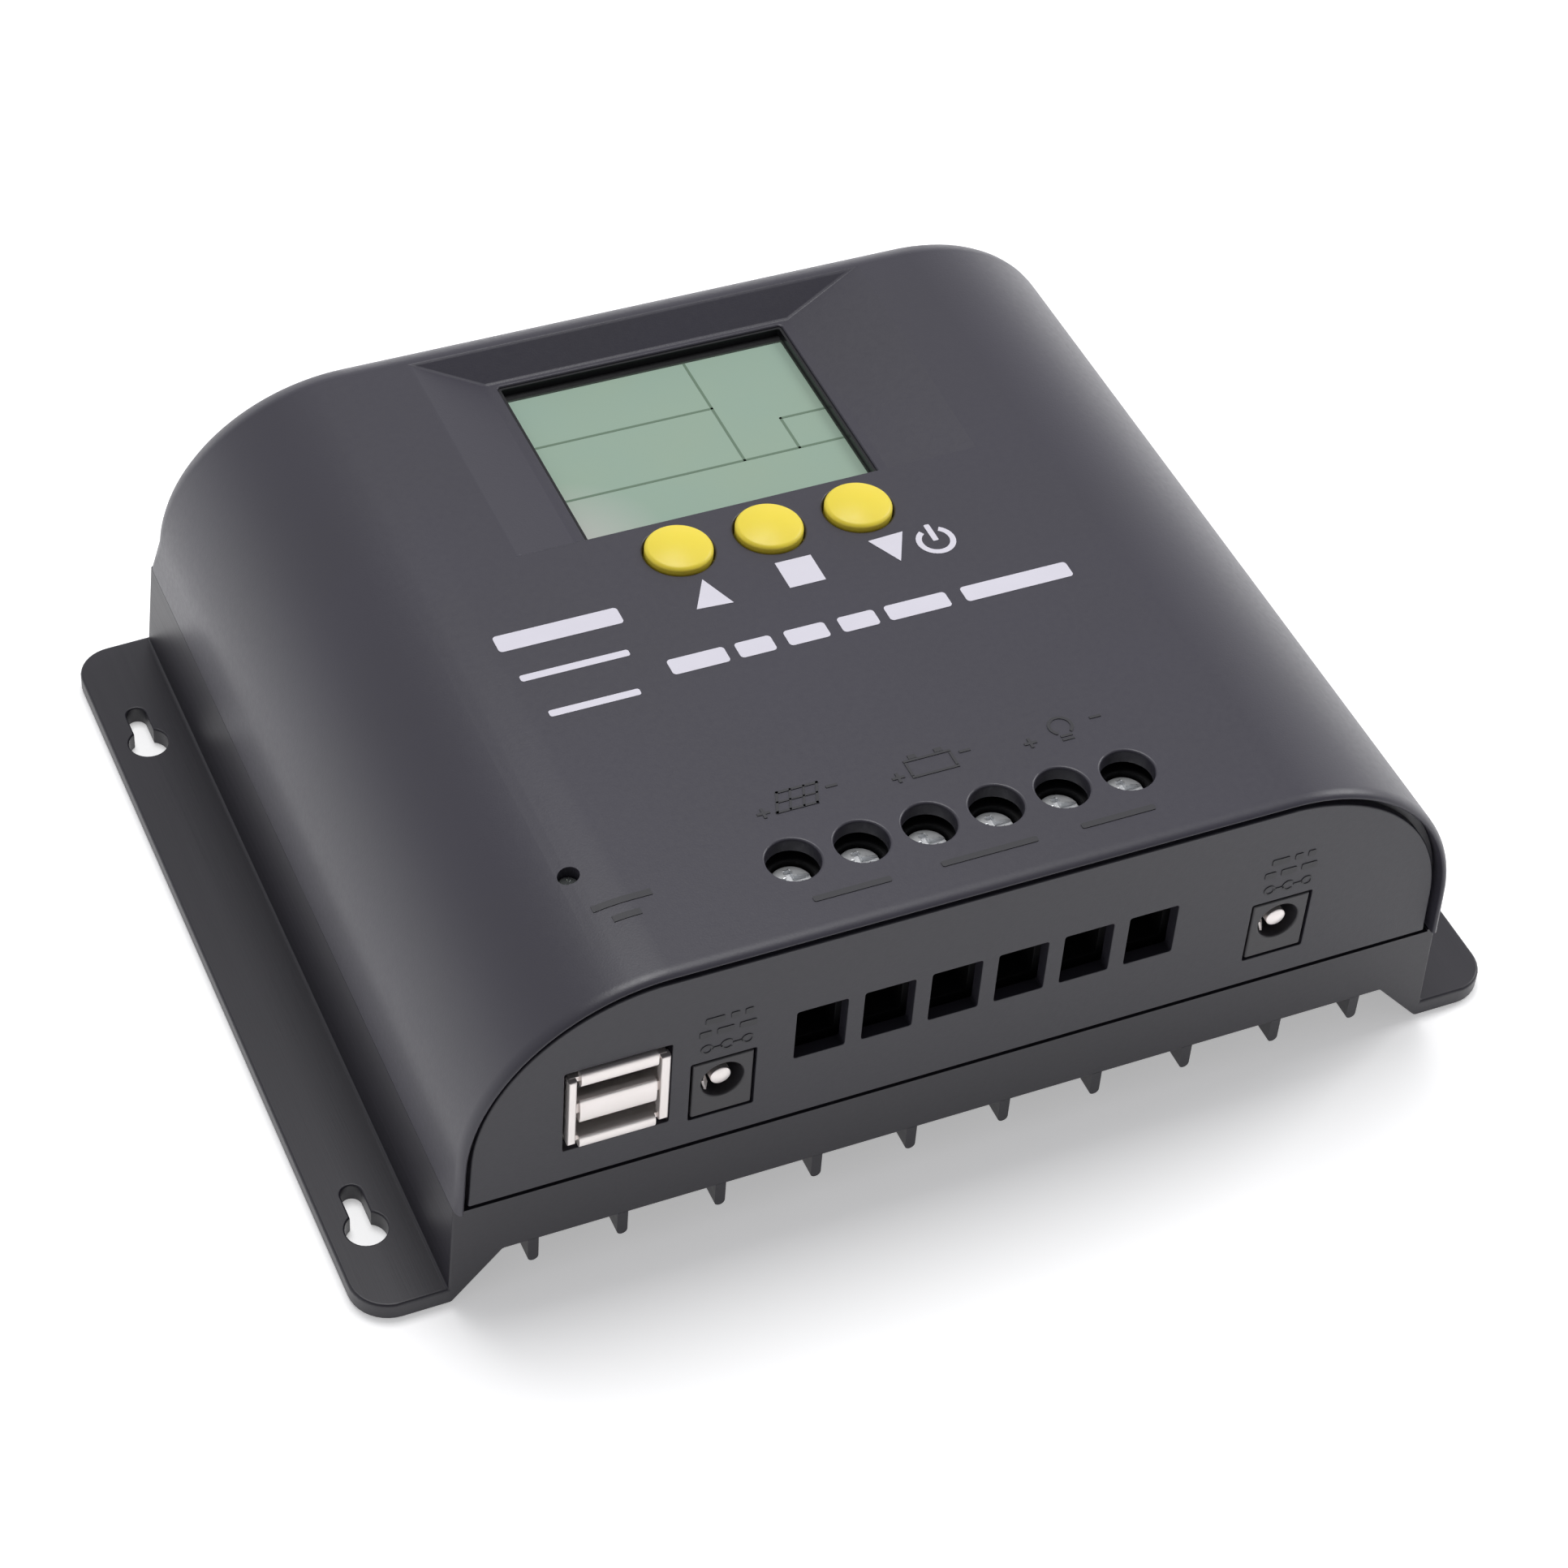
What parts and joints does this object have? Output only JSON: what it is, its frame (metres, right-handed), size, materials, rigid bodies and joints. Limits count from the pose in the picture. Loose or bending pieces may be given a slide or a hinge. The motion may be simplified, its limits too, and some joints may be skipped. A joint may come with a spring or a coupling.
{
  "type": "solar charge controller",
  "caption": "Wall-mounted solar charge controller: finned aluminium tray, domed cover with display and buttons, screw terminals and low-voltage outlet sockets.",
  "frame": {"origin": "middle of the underside, in the plane of the mounting flanges that lie against the wall", "axes": "+X to the right along the terminal face, +Y from the terminal face to the back, +Z away from the wall through the display"},
  "size_m": [0.1804, 0.1424, 0.0587],
  "materials": {
    "black_anodised_aluminium": "black anodised, satin, fine extrusion lines",
    "charcoal_cover_plastic": "satin moulded plastic with a very fine grain",
    "charcoal_panel_plastic": "satin moulded plastic",
    "zinc_plated_steel": "bright zinc plating",
    "blackened_steel": "black oxide",
    "circuit_board_green": "green solder mask over glass fibre",
    "grey_silicone_pad": "soft matt silicone",
    "black_epoxy": "moulded epoxy",
    "bare_aluminium": "mill finish",
    "black_terminal_plastic": "moulded nylon",
    "tinned_brass": "bright",
    "nickel_plated_steel": "bright nickel plating",
    "black_gloss_plastic": "semi-gloss moulded plastic",
    "reflective_lcd_glass": "grey-green reflective liquid crystal cell under clear glass",
    "white_light_guide": "white light guide",
    "switch_metal": "stamped cover",
    "led_epoxy": "phosphor yellow epoxy",
    "clear_light_pipe": "clear acrylic",
    "capacitor_sleeve": "shrink sleeve over aluminium can",
    "powder_core": "painted iron powder core",
    "enamelled_copper": "enamelled copper wire; brass stands for copper",
    "fuse_green_plastic": "translucent coloured body",
    "grey_ribbon_cable": "ribbed flat cable",
    "shunt_alloy": "manganin strip; brass stands for it",
    "yellow_button_plastic": "semi-gloss domed cap"
  },
  "bodies": {
    "case": {"heatsink_base": "black_anodised_aluminium", "top_cover": "charcoal_cover_plastic", "front_panel": "charcoal_panel_plastic", "cover_screws": "zinc_plated_steel", "main_board": "circuit_board_green", "board_screws": "zinc_plated_steel", "insulating_pad": "grey_silicone_pad", "power_transistors": "black_epoxy", "clamp_bar": "bare_aluminium", "clamp_bar_screws": "zinc_plated_steel", "terminal_housing": "black_terminal_plastic", "contact_bars": "tinned_brass", "usb_shell": "nickel_plated_steel", "usb_tongues": "black_gloss_plastic", "barrel_socket_left": "black_gloss_plastic", "barrel_socket_right": "black_gloss_plastic", "barrel_socket_pins": "nickel_plated_steel", "display_glass": "reflective_lcd_glass", "display_frame": "black_gloss_plastic", "display_backlight": "white_light_guide", "display_board": "circuit_board_green", "display_screws": "zinc_plated_steel", "button_switches": "switch_metal", "status_led": "led_epoxy", "led_light_pipe": "clear_light_pipe", "filter_capacitors": "capacitor_sleeve", "inductor_core": "powder_core", "inductor_winding": "enamelled_copper", "blade_fuses": "fuse_green_plastic", "fuse_holders": "black_gloss_plastic", "board_headers": "black_gloss_plastic", "display_cable": "grey_ribbon_cable", "control_chips": "black_epoxy", "current_shunt": "shunt_alloy"},
    "screw_1": {"terminal_screw_1": "zinc_plated_steel"},
    "cage_1": {"clamp_cage_1": "blackened_steel"},
    "screw_2": {"terminal_screw_2": "zinc_plated_steel"},
    "cage_2": {"clamp_cage_2": "blackened_steel"},
    "screw_3": {"terminal_screw_3": "zinc_plated_steel"},
    "cage_3": {"clamp_cage_3": "blackened_steel"},
    "screw_4": {"terminal_screw_4": "zinc_plated_steel"},
    "cage_4": {"clamp_cage_4": "blackened_steel"},
    "screw_5": {"terminal_screw_5": "zinc_plated_steel"},
    "cage_5": {"clamp_cage_5": "blackened_steel"},
    "screw_6": {"terminal_screw_6": "zinc_plated_steel"},
    "cage_6": {"clamp_cage_6": "blackened_steel"},
    "button_up": {"button_cap_up": "yellow_button_plastic", "switch_plunger_up": "black_gloss_plastic"},
    "button_set": {"button_cap_set": "yellow_button_plastic", "switch_plunger_set": "black_gloss_plastic"},
    "button_down": {"button_cap_down": "yellow_button_plastic", "switch_plunger_down": "black_gloss_plastic"}
  },
  "joints": [
    {"name": "terminal_screw_1_turn", "type": "hinge", "parent": "case", "child": "screw_1", "pos_m": [-0.02354, -0.0573, 0.0514], "axis": [0, 0, -1], "range_deg": [0, 3240]},
    {"name": "clamp_cage_1_lift", "type": "slide", "parent": "case", "child": "cage_1", "axis": [0, 0, 1], "range_m": [0, 0.0063]},
    {"name": "terminal_screw_2_turn", "type": "hinge", "parent": "case", "child": "screw_2", "pos_m": [-0.01338, -0.0573, 0.0514], "axis": [0, 0, -1], "range_deg": [0, 3240]},
    {"name": "clamp_cage_2_lift", "type": "slide", "parent": "case", "child": "cage_2", "axis": [0, 0, 1], "range_m": [0, 0.0063]},
    {"name": "terminal_screw_3_turn", "type": "hinge", "parent": "case", "child": "screw_3", "pos_m": [-0.00322, -0.0573, 0.0514], "axis": [0, 0, -1], "range_deg": [0, 3240]},
    {"name": "clamp_cage_3_lift", "type": "slide", "parent": "case", "child": "cage_3", "axis": [0, 0, 1], "range_m": [0, 0.0063]},
    {"name": "terminal_screw_4_turn", "type": "hinge", "parent": "case", "child": "screw_4", "pos_m": [0.00694, -0.0573, 0.0514], "axis": [0, 0, -1], "range_deg": [0, 3240]},
    {"name": "clamp_cage_4_lift", "type": "slide", "parent": "case", "child": "cage_4", "axis": [0, 0, 1], "range_m": [0, 0.0063]},
    {"name": "terminal_screw_5_turn", "type": "hinge", "parent": "case", "child": "screw_5", "pos_m": [0.0171, -0.0573, 0.0514], "axis": [0, 0, -1], "range_deg": [0, 3240]},
    {"name": "clamp_cage_5_lift", "type": "slide", "parent": "case", "child": "cage_5", "axis": [0, 0, 1], "range_m": [0, 0.0063]},
    {"name": "terminal_screw_6_turn", "type": "hinge", "parent": "case", "child": "screw_6", "pos_m": [0.02726, -0.0573, 0.0514], "axis": [0, 0, -1], "range_deg": [0, 3240]},
    {"name": "clamp_cage_6_lift", "type": "slide", "parent": "case", "child": "cage_6", "axis": [0, 0, 1], "range_m": [0, 0.0063]},
    {"name": "button_up_press", "type": "slide", "parent": "case", "child": "button_up", "axis": [0, 0, -1], "range_m": [0, 0.0005]},
    {"name": "button_set_press", "type": "slide", "parent": "case", "child": "button_set", "axis": [0, 0, -1], "range_m": [0, 0.0005]},
    {"name": "button_down_press", "type": "slide", "parent": "case", "child": "button_down", "axis": [0, 0, -1], "range_m": [0, 0.0005]}
  ],
  "couplings": [
    {"joint": "terminal_screw_1_turn", "follows": "clamp_cage_1_lift", "rad_per_m": 8975.9},
    {"joint": "terminal_screw_2_turn", "follows": "clamp_cage_2_lift", "rad_per_m": 8975.9},
    {"joint": "terminal_screw_3_turn", "follows": "clamp_cage_3_lift", "rad_per_m": 8975.9},
    {"joint": "terminal_screw_4_turn", "follows": "clamp_cage_4_lift", "rad_per_m": 8975.9},
    {"joint": "terminal_screw_5_turn", "follows": "clamp_cage_5_lift", "rad_per_m": 8975.9},
    {"joint": "terminal_screw_6_turn", "follows": "clamp_cage_6_lift", "rad_per_m": 8975.9}
  ]
}
